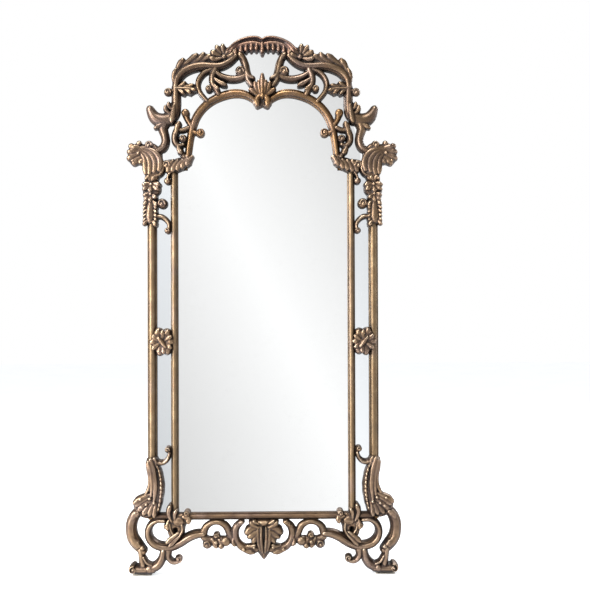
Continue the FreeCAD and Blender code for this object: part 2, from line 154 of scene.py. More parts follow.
def relief(stations, front, back=0.0, form=rounded, across=20, through_cut=False, spacing=2.4, blunt=True):
    """The shell over a line of stations: x, z, width and, if it differs from front, the front's own y.
    It has across points on each section, and a section at every spacing. through_cut rounds the back as well,
    for carving that is seen from behind. blunt rounds off both ends."""
    line = through([(list(st) + [front])[:4] for st in stations], spacing)
    travel = travelled(line)
    along = np.gradient(line[:, :2], axis=0)
    along /= np.linalg.norm(along, axis=1)[:, None]
    shift, scale = np.zeros(len(line)), np.ones(len(line))
    if blunt:
        start, end = line[[0, -1], 2] / 2
        shift = np.concatenate([-start * np.sin(BLUNT_END[::-1]), shift, end * np.sin(BLUNT_END)])
        scale = np.concatenate([np.cos(BLUNT_END[::-1]), scale, np.cos(BLUNT_END)])
        index = np.pad(np.arange(len(line)), len(BLUNT_END), "edge")
        line, along, travel = line[index], along[index], travel[index]
    middle = line[:, :2] + along * shift[:, None]
    normal = np.stack([-along[:, 1], along[:, 0]], axis=1)
    u = np.sin(np.linspace(-np.pi / 2, np.pi / 2, across))[None, :]
    v, h = form(travel[:, None], u, travel[-1])
    reach = (line[:, 2] / 2 * scale)[:, None] * v
    x, z = middle[:, 0:1] + normal[:, 0:1] * reach, middle[:, 1:2] + normal[:, 1:2] * reach
    deep = scale[:, None] ** 0.6
    level = (line[:, 3:4] + back) / 2 if through_cut else back
    y = level + (line[:, 3:4] - level) * h * deep
    verts = np.stack([x, y, z], axis=2)
    if through_cut:
        rear = level + (back - level) * edge(u, 3) * deep
        verts = np.concatenate([verts, np.stack([x, rear, z], axis=2)[:, -2:0:-1]], axis=1)
    return verts.reshape(-1, 3), skin(*verts.shape[:2])


def ball(x, z, radius, front, back=0.0):
    """A boss, squashed to fit between front and back."""
    polar = np.linspace(0.06, np.pi - 0.06, 14)[:, None]
    turn = np.linspace(0, -2 * np.pi, 28, endpoint=False)[None, :]
    reach = radius * np.sin(polar) ** 0.8
    y = (front + back) / 2 - (back - front) / 2 * np.cos(polar) + 0 * turn
    verts = np.stack([x + reach * np.cos(turn), y, z + reach * np.sin(turn)], axis=2)
    return verts.reshape(-1, 3), skin(*verts.shape[:2])


def volute(x, z, radius, start, turns, front, back=0.0, through_cut=False):
    """A rolled end: a coil that winds in from the angle start (degrees) to a button. Negative turns wind
    clockwise."""
    part = np.linspace(0, 1, int(abs(turns) * 10) + 2)
    angle = math.radians(start) + 2 * math.pi * turns * part
    reach = radius * (0.72 - 0.46 * part)
    width = radius * (0.56 - 0.14 * part)
    top = front + (back - front) * 0.05 * part
    coil = np.stack([x + reach * np.cos(angle), z + reach * np.sin(angle), width, top], axis=1)
    bed = front + (back - front) * 0.2
    return [
        relief(coil, front, back, rounded, 12, through_cut, spacing=1.5),
        ball(x, z, radius * 0.92, bed, back),
        ball(x, z, radius * 0.4, front - 0.5, back),
    ]


def curl(x, z, radius, front, back=0.0):
    """A tight rolled end, seen as a boss with one fold round it."""
    angle = np.radians([200, 130, 60, -10])
    reach = 0.62 * radius
    fold = np.stack([x + reach * np.cos(angle), z + reach * np.sin(angle), 0.7 * radius + 0 * angle], axis=1)
    return [
        ball(x, z, radius, front + 3.0, back), relief(fold, front, back, rounded, 12, spacing=1.5),
        ball(x - 0.1 * radius, z - 0.2 * radius, 0.5 * radius, front - 0.5, back),
    ]


def frond(leaf, front, back=None, lift=4.0):
    """A plump leaflet. leaf holds x and z of each point of its path, and then its width. It widens towards
    its round tip, which rises by lift. It lies on what is behind it, unless back says how far it goes."""
    *path, width = leaf
    back = front + 16.0 if back is None else back
    line = through(np.reshape(path, (-1, 2)), 1.0)
    stop = (len(line) - 1) * (1 - min(0.45, 0.3 * width / travelled(line)[-1]))
    stations = []
    for part, wide, rise in LEAFLET:
        x, z = line[round(part * stop)]
        stations.append((x, z, width * wide, max(front - lift * rise, FOREMOST)))
    return relief(stations, front, back, plump, 18, spacing=2.0)


def fronds(front, back, *leaves):
    return [frond(leaf, front, back) for leaf in leaves]


def bosses(front, *places):
    return [ball(x, z, radius, front) for x, z, radius in places]


def both_sides(stations):
    """A line on the left of centre, carried on to the right by its mirror image."""
    return stations + [(-st[0],) + tuple(st[1:]) for st in reversed(stations) if st[0] != 0]


def flipped(shells):
    """The mirror image of shells, still facing outward."""
    return [(points * [-1, 1, 1], [polygon[::-1] for polygon in faces]) for points, faces in shells]


# ---- Leafy masses ----

def scalloped(points, bulge, spacing=2.5):
    """The closed outline through the points, each side bowed outward by its length times bulge."""
    p = np.asarray(points, float)
    after = np.roll(p, -1, axis=0)
    area = (p[:, 0] * after[:, 1] - after[:, 0] * p[:, 1]).sum()
    outward = bulge if area > 0 else -bulge
    rim = []
    for start, end in zip(p, after):
        side = end - start
        bow = np.array([side[1], -side[0]]) * outward
        t = np.arange(0, 1, min(0.5, spacing / np.linalg.norm(side)))[:, None]
        rim.append(start + side * t + bow * 4 * t * (1 - t))
    return np.concatenate(rim)


def near(places, line):
    """How far each place is from a line."""
    line = np.asarray(line, float)
    start, side = line[:-1], np.diff(line, axis=0)
    offset = places[:, None, :] - start[None]
    t = ((offset * side).sum(axis=2) / (side**2).sum(axis=1)).clip(0, 1)
    return np.linalg.norm(offset - t[:, :, None] * side, axis=2).min(axis=1)


def inside(places, rim):
    """Which places lie inside a closed rim."""
    x, z = places[:, 0:1], places[:, 1:2]
    x0, z0 = rim.T
    x1, z1 = np.roll(rim, -1, axis=0).T
    rise = np.where(z1 == z0, 1e-9, z1 - z0)
    crossing = ((z0 > z) != (z1 > z)) & (x < (x1 - x0) * (z - z0) / rise + x0)
    return crossing.sum(axis=1) % 2 == 1


def pillow(points, front, back=0.0, bulge=0.1, rounding=13.0, crown=0.3, grooves=()):
    """A leafy mass inside a scalloped outline: round shoulders as wide as rounding, a gentle crown, and any
    grooves cut into it, each given by its line, depth and width."""
    rim = scalloped(points, bulge)
    low, high = rim.min(axis=0), rim.max(axis=0)
    xs, zs = np.meshgrid(np.arange(low[0], high[0], LEAF_GRID), np.arange(low[1], high[1], LEAF_GRID * 0.87))
    xs[1::2] += LEAF_GRID / 2
    grid = np.stack([xs.ravel(), zs.ravel()], axis=1)
    loop = np.concatenate([rim, rim[:1]])
    grid = grid[inside(grid, rim)]
    grid = grid[near(grid, loop) > 0.45 * LEAF_GRID]
    sides = [(i, (i + 1) % len(rim)) for i in range(len(rim))]
    flat = delaunay_2d_cdt([Vector(place) for place in np.concatenate([rim, grid])], sides, [], 1, 1e-4)
    places = np.array([place[:] for place in flat[0]])
    triangles = [list(corners) for corners in flat[2]]
    gap = near(places, loop)
    shoulder = (gap / rounding).clip(0, 1)
    height = (1 - (1 - shoulder) ** 2.4) ** 0.55 * (1 - crown + crown * (gap / gap.max()))
    y = back + (front - back) * height
    for line, depth, width in grooves:
        y += depth * np.exp(-((near(places, line) / width) ** 2)) * shoulder**0.5
    y = np.where(gap < 1e-3, back - LEAF_RIM, y).clip(FOREMOST, back - LEAF_RIM)
    n = len(places)
    top = np.stack([places[:, 0], y, places[:, 1]], axis=1)
    bottom = np.stack([places[:, 0], np.full(n, float(back)), places[:, 1]], axis=1)
    under = [[n + corner for corner in reversed(t)] for t in triangles]
    ways = {(a, b) for t in triangles for a, b in zip(t, t[1:] + t[:1])}
    wall = [[b, a, n + a, n + b] for a, b in sorted(ways) if (b, a) not in ways]
    return np.concatenate([top, bottom]), triangles + under + wall


# ---- Turning shells into pieces ----

def joined(shells):
    """One list of points, in metres, and one of faces."""
    verts, faces, base = [], [], 0
    for points, polygons in shells:
        verts.append(points)
        faces += [[base + corner for corner in polygon] for polygon in polygons]
        base += len(points)
    return np.concatenate(verts) * MM, faces


def put_in_scene(name, data):
    thing = bpy.data.objects.new(name, data)
    bpy.context.scene.collection.objects.link(thing)
    return thing


def mesh_object(name, verts, faces):
    mesh = bpy.data.meshes.new(name)
    mesh.from_pydata(verts.tolist(), [], faces)
    mesh.validate()
    mesh.update()
    return put_in_scene(name, mesh)


def read(items, name, width, kind=float):
    """An array with a row for each vertex, edge or normal of a mesh."""
    values = np.empty(len(items) * width, kind)
    items.foreach_get(name, values)
    return values.reshape(-1, width)


def mark_hollows(mesh):
    """Stores how far each point lies in a hollow (above 0) or on a ridge (below 0), for glaze and rub."""
    place = read(mesh.vertices, "co", 3)
    normal = read(mesh.vertex_normals, "vector", 3, np.float32)
    a, b = read(mesh.edges, "vertices", 2, np.int32).T
    n = len(place)
    degree = np.bincount(a, minlength=n) + np.bincount(b, minlength=n)
    soft = place.copy()
    hollow = np.zeros(n)
    for rounds in (5, 22):
        for _ in range(rounds):
            total = np.stack([
                np.bincount(a, soft[b, i], n) + np.bincount(b, soft[a, i], n) for i in range(3)
            ], axis=1)
            soft = 0.4 * soft + 0.6 * total / degree[:, None]
        offset = ((soft - place) * normal).sum(axis=1)
        hollow += 0.5 * np.tanh(offset / (0.00018 * rounds**0.6))
    layer = mesh.attributes.new("hollow", "FLOAT", "POINT")
    layer.data.foreach_set("value", hollow.astype(np.float32))


def carve(name, shells, voxel=VOXEL):
    """One solid, carved from all its shells, with its sharpest steps worn down."""
    thing = mesh_object(name, *joined(shells))
    remesh = thing.modifiers.new("union", "REMESH")
    remesh.mode = "VOXEL"
    remesh.voxel_size = voxel * MM
    wear = thing.modifiers.new("wear", "SMOOTH")
    wear.factor, wear.iterations = 0.5, 2
    rough = thing.data
    made = thing.evaluated_get(bpy.context.evaluated_depsgraph_get())
    thing.data = bpy.data.meshes.new_from_object(made)
    thing.modifiers.clear()
    bpy.data.meshes.remove(rough)
    mark_hollows(thing.data)
    return thing


def mirrored_copy(thing, name):
    mesh = thing.data.copy()
    place = read(mesh.vertices, "co", 3) * [-1, 1, 1]
    mesh.vertices.foreach_set("co", place.ravel())
    mesh.flip_normals()
    mesh.update()
    return put_in_scene(name, mesh)


def dress(mesh, material):
    mesh.materials.clear()
    mesh.materials.append(material)


def place_piece(thing, node, material):
    """Puts a finished piece in the place of the CAD node."""
    dress(thing.data, material)
    thing.data.polygons.foreach_set("use_smooth", [True] * len(thing.data.polygons))
    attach(thing, "frame")
    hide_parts(node)


# A carving is a function that returns shells, and its name is that of the CAD node, less the side.

def carved_single(carving, material, voxel=VOXEL):
    node = carving.__name__
    place_piece(carve("carved_" + node, carving(), voxel), node, material)


def carved_pair(carving, material):
    node = carving.__name__
    left = carve("carved_" + node + "_left", carving())
    right = mirrored_copy(left, "carved_" + node + "_right")
    place_piece(left, node + "_left", material)
    place_piece(right, node + "_right", material)


# ---- The carved pieces, from the top down ----
# Points are x and z, and tubes and leaflets add a width. Depths are y: the front is below 0, the glass plane.

def crest_shell():
    rim = both_sides([
        (-138, 2099, 16), (-108, 2127, 17), (-72, 2144, 18), (-38, 2150, 19), (-14, 2148, 17), (0, 2141, 15),
    ])
    swell = both_sides([
        (-130, 2090, 24), (-100, 2113, 32), (-70, 2124, 36), (-36, 2128, 36), (-12, 2124, 34), (0, 2120, 32),
    ])
    shells = [relief(rim, -46, 0, rounded, 18, spacing=2.0), relief(swell, -38, 0, reeded, 22, spacing=2.0)]
    shadow = both_sides([(-116, 2090, 18), (-88, 2103, 20), (-46, 2109, 22), (0, 2110, 22)])
    shells.append(relief(shadow, -31, 0, rounded, 16, spacing=2.0))
    shells.append(frond((0, 2130, 0, 2108, 0, 2084, 24), -42, 0))
    leaves = fronds(-41, 0, (92, 2130, 112, 2114, 130, 2088, 24))
    for i in range(5):
        x, z = 22 + 21 * i, 2127 - 1.1 * i * i
        leaves.append(frond((x, z, x + 1, z - 16, x + 2, z - 31, 23), -40, 0, 2))
    return shells + leaves + flipped(leaves)


def crest_palmette():
    outline = both_sides([
        (0, 2006), (-11, 1984), (-20, 1976), (-32, 1978), (-36, 1960), (-54, 1950), (-44, 1932), (-27, 1914),
        (-35, 1896), (-33, 1878), (-15, 1867), (0, 1874),
    ])
    shells = [pillow(outline, -34, 0, 0.06)]
    shells += [frond((0, 1904, 0, 1950, 0, 2008, 24), -43, 0), ball(0, 1916, 12, -46)]
    leaves = fronds(-37, 0, (8, 1910, 30, 1930, 54, 1948, 24), (5, 1908, 22, 1940, 32, 1976, 24))
    leaves += fronds(-40, 0, (3, 1906, 11, 1944, 15, 1982, 20))
    leaves += fronds(-42, 0, (2, 1922, 19, 1906, 19, 1870, 34))
    return shells + leaves + flipped(leaves)


def crest_arm():
    tube = [
        (-346, 1956, 34), (-341, 1984, 38), (-320, 2013, 42), (-284, 2032, 42), (-240, 2040, 40),
        (-200, 2038, 38), (-165, 2040, 36), (-132, 2056, 34), (-106, 2078, 28),
    ]
    crest = [
        (-340, 1962), (-357, 1972), (-356, 2006), (-346, 2028), (-330, 2048), (-310, 2068), (-296, 2060),
        (-275, 2075), (-254, 2087), (-245, 2076), (-229, 2092), (-206, 2084), (-196, 2066), (-200, 2050),
        (-240, 2040), (-284, 2034), (-322, 2012),
    ]
    flower = [
        (-208, 2058), (-204, 2082), (-194, 2104), (-181, 2116), (-170, 2109), (-160, 2120), (-147, 2112),
        (-130, 2114), (-116, 2096), (-122, 2066), (-150, 2050), (-185, 2046),
    ]
    shells = [
        pillow(crest, -32, 0, 0.05, 12, 0.2), pillow(flower, -27, 0, 0.08, 12),
        relief(tube, -40, 0, lipped, 26),
    ]
    shells += fronds(
        -36, 0, (-353, 1966, -355, 1996, -342, 2029, 22), (-345, 2006, -334, 2036, -312, 2068, 30),
        (-320, 2038, -291, 2057, -256, 2086, 32), (-283, 2050, -252, 2063, -230, 2092, 30),
        (-250, 2053, -228, 2065, -202, 2083, 30),
    )
    shells += fronds(
        -38, 0, (-164, 2066, -188, 2062, -212, 2070, 28), (-168, 2078, -188, 2086, -207, 2098, 32),
        (-164, 2086, -176, 2104, -186, 2120, 28), (-154, 2088, -157, 2108, -158, 2126, 28),
        (-146, 2082, -134, 2098, -122, 2112, 32), (-146, 2070, -128, 2078, -110, 2086, 28),
    )
    return shells + bosses(-43, (-200, 2066, 10), (-152, 2072, 12), (-112, 2094, 9))


def lyre_scroll():
    upright = [
        (-90, 2092, 26), (-77, 2068, 31), (-68, 2042, 33), (-63, 2016, 33), (-54, 1998, 30), (-38, 1990, 22),
    ]
    strand = [(-64, 2008, 24), (-58, 1984, 25), (-42, 1960, 24)]
    smile = [(-186, 2012, 26), (-158, 1995, 32), (-122, 1987, 34), (-88, 1991, 32), (-64, 2002, 28)]
    shells = [relief(upright, -36), relief(strand, -34), relief(smile, -32)]
    shells += curl(-87, 2017, 22, -39)
    return shells + fronds(-38, 0, (-70, 2048, -78, 2070, -97, 2090, 26))


def crescent_scroll():
    crescent = [
        (-200, 2026, 24), (-232, 2012, 26), (-252, 1989, 26), (-259, 1963, 25), (-253, 1938, 23),
        (-236, 1914, 22), (-222, 1898, 22),
    ]
    stem = [(-188, 2026, 32), (-199, 1996, 33), (-198, 1966, 30), (-186, 1944, 28), (-177, 1928, 28)]
    serrated = [
        (-352, 1964), (-328, 1966), (-306, 1976), (-292, 1961), (-270, 1962), (-260, 1944), (-268, 1930),
        (-284, 1921), (-296, 1930), (-310, 1918), (-324, 1930), (-352, 1930),
    ]
    shells = [
        relief(crescent, -33), relief(stem, -36), pillow(serrated, -32, 0, 0.1, 10),
        relief([(-348, 1947, 20), (-306, 1946, 18), (-272, 1944, 14)], -39),
    ]
    shells += fronds(
        -37, 0, (-340, 1952, -322, 1960, -306, 1974, 22), (-318, 1950, -294, 1956, -272, 1961, 21),
        (-338, 1942, -324, 1934, -310, 1921, 21), (-314, 1944, -298, 1936, -284, 1924, 21),
        (-300, 1946, -282, 1942, -263, 1938, 20), (-196, 1990, -172, 1972, -141, 1958, 25),
        (-196, 1966, -186, 1952, -170, 1940, 22),
    )
    return shells + curl(-214, 1947, 15, -38)


def shoulder_horn():
    stem = [(-347, 1952, 37), (-346, 1915, 39), (-347, 1880, 41), (-355, 1846, 48), (-378, 1824, 56)]
    horn = [(-372, 1826, 56), (-404, 1820, 62), (-430, 1832, 53), (-446, 1855, 40), (-450, 1864, 35)]
    s_stem = [
        (-393, 1812, 50), (-399, 1786, 42), (-392, 1760, 36), (-389, 1737, 35), (-398, 1712, 36),
        (-420, 1696, 36),
    ]
    shells = [
        relief(stem, -37, 0, lipped, 24), relief(horn, -40, 0, rounded, 24),
        relief(s_stem, -37, 0, lipped, 24), relief([(-346, 1940, 24), (-372, 1936, 20)], -33),
    ]
    shells += fronds(
        -38, 0, (-364, 1842, -382, 1856, -389, 1880, 24), (-358, 1858, -372, 1872, -375, 1894, 22),
        (-390, 1808, -414, 1796, -434, 1784, 26),
    )
    shells += fronds(-43, None, (-352, 1880, -356, 1846, -364, 1806, 24))
    return shells + curl(-376, 1932, 18, -40)


def shoulder_hook():
    hook = [
        (-333, 1805, 21), (-342, 1785, 29), (-351, 1758, 31), (-349, 1732, 29), (-334, 1717, 26),
        (-318, 1722, 21),
    ]
    shells = [
        relief(hook, -35), relief([(-332, 1712, 24), (-326, 1692, 26), (-314, 1674, 28)], -30),
        relief([(-340, 1780, 23), (-316, 1782, 25), (-298, 1790, 25)], -30),
    ]
    shells += fronds(
        -37, 0, (-346, 1756, -342, 1786, -331, 1816, 27), (-338, 1720, -334, 1702, -320, 1680, 27),
    )
    return shells + curl(-318, 1746, 17, -38)


def ear_leaf():
    outline = [
        (-404, 1698), (-424, 1722), (-438, 1731), (-455, 1738), (-472, 1728), (-484, 1726), (-493, 1735),
        (-504, 1723), (-514, 1720), (-524, 1721), (-531, 1708), (-541, 1696), (-541, 1672), (-534, 1652),
        (-516, 1635), (-494, 1642), (-474, 1638), (-471, 1600), (-466, 1588), (-425, 1588), (-402, 1602),
        (-393, 1634), (-402, 1664),
    ]
    trunk = [(-442, 1598, 60), (-434, 1640, 66), (-440, 1672, 64), (-462, 1694, 54), (-492, 1694, 46)]
    shells = [pillow(outline, -32, 6, 0.05, 12, 0.15), relief(trunk, -38, 0, softened, 30, spacing=2.2)]
    shells += fronds(
        -38, 0, (-480, 1704, -505, 1709, -527, 1713, 34), (-480, 1696, -513, 1695, -542, 1691, 36),
        (-480, 1684, -512, 1677, -541, 1662, 38), (-478, 1674, -504, 1658, -519, 1638, 38),
        (-470, 1664, -484, 1654, -495, 1644, 30),
    )
    shells += fronds(
        -41, None, (-470, 1704, -428, 1690, -408, 1650, -414, 1612, 28),
        (-480, 1700, -444, 1680, -428, 1644, -434, 1606, 26),
        (-484, 1694, -460, 1674, -448, 1638, -452, 1598, 26),
        (-484, 1686, -471, 1664, -468, 1632, -466, 1600, 24),
    )
    shells.append(relief([(-396, 1646, 17), (-398, 1620, 19), (-411, 1602, 20), (-430, 1594, 18)], -39))
    shells += bosses(-44, (-495, 1686, 9), (-518, 1656, 8))
    shells += bosses(-39, (-493, 1726, 12), (-524, 1715, 13))
    return shells + curl(-454, 1720, 18, -41)


def elbow_leaf():
    outline = [
        (-284, 1672), (-291, 1648), (-309, 1628), (-332, 1612), (-356, 1605), (-380, 1608), (-396, 1628),
        (-400, 1654), (-384, 1664), (-356, 1666), (-330, 1674), (-316, 1686), (-298, 1692),
    ]
    shells = [pillow(outline, -32, 0, 0.05, 14)]
    for step in range(5):
        x, z = -382 + 19 * step, 1608 + 1.5 * step**2
        shells.append(frond((x + 24, z + 50 - 2 * step, x + 10, z + 26, x, z, 32), -38, 0, 2))
    drop = [relief([(-368, 1612, 16), (-378, 1596, 15), (-381, 1584, 14)], -34), ball(-381, 1576, 14, -37)]
    return shells + curl(-383, 1640, 21, -41) + drop


def pendant():
    outline = [
        (-466, 1600), (-474, 1578), (-482, 1556), (-481, 1532), (-477, 1506), (-474, 1486), (-452, 1480),
        (-430, 1486), (-420, 1500), (-419, 1518), (-407, 1532), (-406, 1552), (-418, 1567), (-430, 1576),
        (-426, 1592),
    ]
    hook = [(-430, 1434, 22), (-405, 1433, 24), (-387, 1421, 22), (-376, 1404, 19), (-375, 1388, 17)]
    shells = [pillow(outline, -33, 0, 0.06, 12, 0.15)]
    shells += fronds(
        -38, 0, (-446, 1566, -462, 1564, -482, 1560, 28), (-448, 1560, -464, 1550, -479, 1538, 30),
        (-444, 1558, -448, 1542, -448, 1526, 30), (-440, 1560, -428, 1550, -412, 1536, 32),
        (-438, 1566, -424, 1564, -407, 1558, 28), (-448, 1576, -454, 1588, -464, 1600, 26),
        (-442, 1576, -436, 1588, -430, 1598, 26), (-448, 1526, -462, 1522, -479, 1518, 26),
        (-450, 1520, -462, 1508, -472, 1496, 28), (-446, 1518, -448, 1504, -448, 1488, 28),
        (-440, 1522, -432, 1512, -422, 1504, 26), (-460, 1500, -468, 1488, -476, 1478, 24),
        (-438, 1496, -428, 1484, -424, 1470, 24), (-458, 1420, -468, 1410, -478, 1398, 24),
        (-442, 1418, -432, 1406, -426, 1392, 24),
    )
    for drop in (1478, 1462, 1446, 1430):
        shells += fronds(
            -36, 0, (-462, drop, -470, drop - 7, -478, drop - 15, 18),
            (-436, drop, -429, drop - 7, -422, drop - 15, 18),
        )
    shells.append(frond((-447, 1506, -449, 1460, -450, 1404, 42), -37, 0, 3))
    shells += bosses(-44, (-445, 1562, 9), (-447, 1523, 8), (-464, 1585, 8))
    shells += [relief([(-440, 1492, 20), (-418, 1482, 22)], -34), relief(hook, -34, 0, lipped)]
    return shells + curl(-402, 1486, 21, -39) + curl(-381, 1377, 13, -37)


def mid_rosette():
    outline = [
        (-454, 931), (-444, 956), (-431, 972), (-416, 990), (-400, 982), (-384, 988), (-369, 976),
        (-360, 956), (-356, 932), (-361, 906), (-370, 888), (-383, 877), (-399, 883), (-413, 875),
        (-430, 890), (-444, 906),
    ]
    shells = [pillow(outline, -28, 0, 0.08, 12)]
    shells += fronds(
        -35, 0, (-408, 932, -430, 934, -455, 930, 40), (-404, 938, -418, 960, -420, 988, 38),
        (-398, 938, -386, 960, -378, 982, 38), (-394, 932, -376, 932, -356, 934, 38),
        (-398, 926, -384, 904, -379, 882, 36), (-404, 926, -410, 904, -413, 877, 38),
    )
    shells += fronds(
        -39, None, (-412, 936, -430, 948, -441, 962, 22), (-412, 926, -430, 914, -441, 902, 22),
        (-402, 942, -400, 962, -402, 980, 20), (-390, 938, -374, 950, -364, 958, 20),
        (-390, 926, -374, 914, -364, 906, 20), (-400, 920, -396, 900, -397, 884, 20),
    )
    heart = [(-416, 948, 24), (-404, 933, 34), (-390, 914, 26)]
    return shells + [relief(heart, -46, 0, rounded, 18, spacing=1.6)]


def buttress_leaf():
    outline = [
        (-454, 474), (-470, 464), (-471, 440), (-462, 414), (-459, 378), (-464, 345), (-478, 325),
        (-500, 308), (-524, 287), (-521, 266), (-498, 234), (-468, 224), (-420, 236), (-408, 270),
        (-400, 305), (-395, 345), (-396, 375), (-404, 405), (-418, 440), (-426, 466), (-438, 478),
    ]
    serrated = [
        (-425, 442, 14), (-414, 410, 19), (-409, 372, 21), (-409, 334, 22), (-413, 296, 20), (-421, 258, 16),
    ]
    hook = [(-432, 458, 24), (-417, 449, 24), (-398, 451, 23), (-383, 465, 20), (-375, 487, 17)]
    shells = [
        pillow(outline, -33, 8, 0.04, 14, 0.15), relief(serrated, -38, 0, beaded, 14, spacing=1.6),
        relief(hook, -34, 0, lipped),
    ]
    shells += fronds(
        -38, 0, (-470, 326, -452, 366, -452, 410, -464, 458, 28), (-452, 326, -484, 311, -521, 287, 31),
        (-454, 312, -484, 300, -512, 276, 32), (-450, 300, -482, 280, -500, 256, 34),
        (-448, 288, -470, 262, -482, 240, 32), (-438, 292, -450, 262, -456, 236, 30),
        (-428, 290, -434, 262, -436, 230, 26), (-428, 440, -430, 456, -438, 476, 20),
    )
    shells += fronds(
        -41, None, (-436, 300, -431, 350, -437, 410, -450, 472, 24),
        (-448, 320, -444, 366, -446, 410, -460, 462, 20),
    )
    shells += bosses(-44, (-485, 275, 10), (-453, 309, 9), (-436, 292, 9), (-490, 307, 8), (-466, 286, 8))
    return shells + curl(-382, 502, 13, -38)


def corner_leaf():
    outline = [
        (-386, 258), (-371, 284), (-357, 262), (-342, 250), (-322, 250), (-306, 256), (-290, 248),
        (-288, 232), (-297, 212), (-310, 200), (-316, 182), (-320, 152), (-352, 140), (-380, 150),
        (-390, 184), (-392, 205), (-385, 222),
    ]
    cheek = [(-366, 222), (-350, 238), (-326, 236), (-312, 222), (-318, 200), (-340, 194), (-362, 202)]
    eye = ([(-352, 184), (-350, 172)], 26, 6.5)
    shells = [pillow(outline, -31, 20, 0.05, 13, 0.1, [eye]), pillow(cheek, -39, 0, 0.1, 11, 0.2)]
    shells += fronds(
        -38, 0, (-366, 216, -378, 244, -371, 286, 26), (-354, 220, -354, 246, -346, 268, 24),
        (-378, 222, -384, 204, -382, 180, 24),
    )
    shells += fronds(
        -41, None, (-320, 236, -300, 228, -301, 206, 24), (-340, 172, -360, 156, -390, 130, 22),
        (-336, 158, -354, 142, -378, 118, 20),
    )
    shells += [
        relief([(-374, 206, 18), (-370, 184, 18), (-356, 160, 18)], -37, 12),
        relief([(-326, 204, 20), (-324, 182, 20), (-336, 158, 18)], -38, 12),
    ]
    return shells + curl(-307, 246, 14, -43) + curl(-387, 196, 14, -41, 16)


def ring_scroll():
    ring = [
        (-398, 218, 22), (-428, 218, 25), (-452, 201, 29), (-462, 174, 31), (-456, 145, 34), (-436, 123, 36),
        (-405, 112, 37), (-370, 113, 38), (-335, 128, 39), (-302, 149, 39), (-270, 161, 36), (-244, 164, 32),
    ]
    return [relief(ring, -37, 37, lipped, 24, True)]


def side_scroll():
    scroll = [
        (-495, 262, 38), (-516, 238, 43), (-528, 210, 46), (-530, 180, 46), (-523, 148, 48), (-505, 121, 47),
        (-484, 98, 38),
    ]
    shells = [relief(scroll, -35, 33, lipped, 26, True)]
    shells += fronds(-38, None, (-528, 160, -514, 134, -488, 116, 32), (-526, 222, -514, 244, -494, 256, 30))
    return shells + bosses(-42, (-484, 112, 12), (-502, 118, 11))


def foot():
    outer = [(-492, 104, 28), (-488, 76, 28), (-482, 44, 34)]
    inner = [(-401, 98, 30), (-407, 67, 36), (-424, 41, 40), (-450, 27, 38)]
    curled = [(-383, 100, 36), (-381, 72, 26), (-366, 55, 24), (-346, 54, 20), (-337, 60, 17)]
    sole = [(-512, 24.5, 38), (-490, 24, 36), (-462, 24.5, 40), (-446, 25, 38)]
    shells = [
        relief(outer, -38, 35, lipped, 22, True), relief(inner, -40, 35, lipped, 24, True),
        relief(curled, -34, 19, rounded, 22, True), relief(sole, -41, 40, rounded, 26, True, spacing=2.0),
        relief([(-478, 74, 18), (-464, 52, 20), (-448, 44, 20)], -39), ball(-456, 27, 21, -44, 40),
    ]
    shells += volute(-520, 27, 22, 80, 1.1, FOREMOST + 1.0, 40, True)
    shells += volute(-340, 66, 17, -60, 0.9, -38, 19, True)
    return [(np.maximum(points, [-np.inf, -np.inf, SOLE_LEVEL]), faces) for points, faces in shells]


def apron_scroll():
    over = [
        (-242, 164, 34), (-232, 190, 30), (-208, 208, 24), (-178, 210, 24), (-152, 196, 30), (-138, 168, 30),
        (-128, 140, 30),
    ]
    under = [(-240, 150, 28), (-219, 138, 36), (-186, 136, 40), (-154, 138, 36), (-130, 144, 26)]
    big_c = [
        (-92, 210, 26), (-110, 190, 32), (-114, 156, 31), (-103, 129, 30), (-84, 111, 34), (-58, 103, 36),
        (-32, 104, 34),
    ]
    shells = [
        relief(over, -31, 11, rounded, 18, True, spacing=2.0), relief(under, -30, 11, rounded, 22, True),
        relief(big_c, -33, 11, lipped, 22, True),
    ]
    shells += fronds(
        -35, 0, (-206, 146, -196, 130, -188, 108, 28), (-178, 144, -170, 128, -168, 108, 28),
        (-96, 112, -70, 98, -34, 90, 26), (-66, 118, -46, 116, -28, 124, 24),
        (-120, 150, -122, 132, -112, 116, 22), (-108, 190, -94, 208, -76, 214, 26),
    )
    shells += curl(-226, 124, 20, -37, 11) + curl(-188, 157, 15, -34, 11) + curl(-97, 204, 13, -37, 11)
    return shells + bosses(-42, (-151, 136, 20), (-80, 104, 10), (-190, 132, 11), (-170, 118, 13))


def apron_palmette():
    outline = both_sides([
        (0, 224), (-32, 222), (-48, 206), (-68, 192), (-78, 158), (-58, 144), (-44, 122), (-30, 106),
        (-27, 88), (-14, 71), (0, 54),
    ])
    diamond = both_sides([(0, 55), (-14, 71), (-25, 94), (0, 112)])
    bowl = both_sides([(0, 187), (-14, 192), (-27, 206), (-30, 224)])
    shells = [
        pillow(outline, -29, 13, 0.05, 14), pillow(diamond, -38, 6, 0.03, 12, 0.4),
        pillow(bowl, -43, 6, 0.03, 16, 0.25),
    ]
    leaves = fronds(
        -35, 6, (10, 192, 44, 188, 76, 162, 36), (10, 184, 38, 166, 66, 148, 34),
        (10, 180, 30, 152, 46, 126, 30),
    )
    leaves += fronds(-38, 6, (24, 192, 23, 146, 12, 94, 23), (20, 190, 40, 200, 58, 216, 28))
    leaves += fronds(-40, 6, (9, 192, 10, 146, 5, 88, 20))
    leaves += fronds(-39, 6, (18, 206, 32, 212, 46, 222, 22)) + bosses(-40, (38, 111, 9))
    return shells + leaves + flipped(leaves)


# ---- Mouldings ----

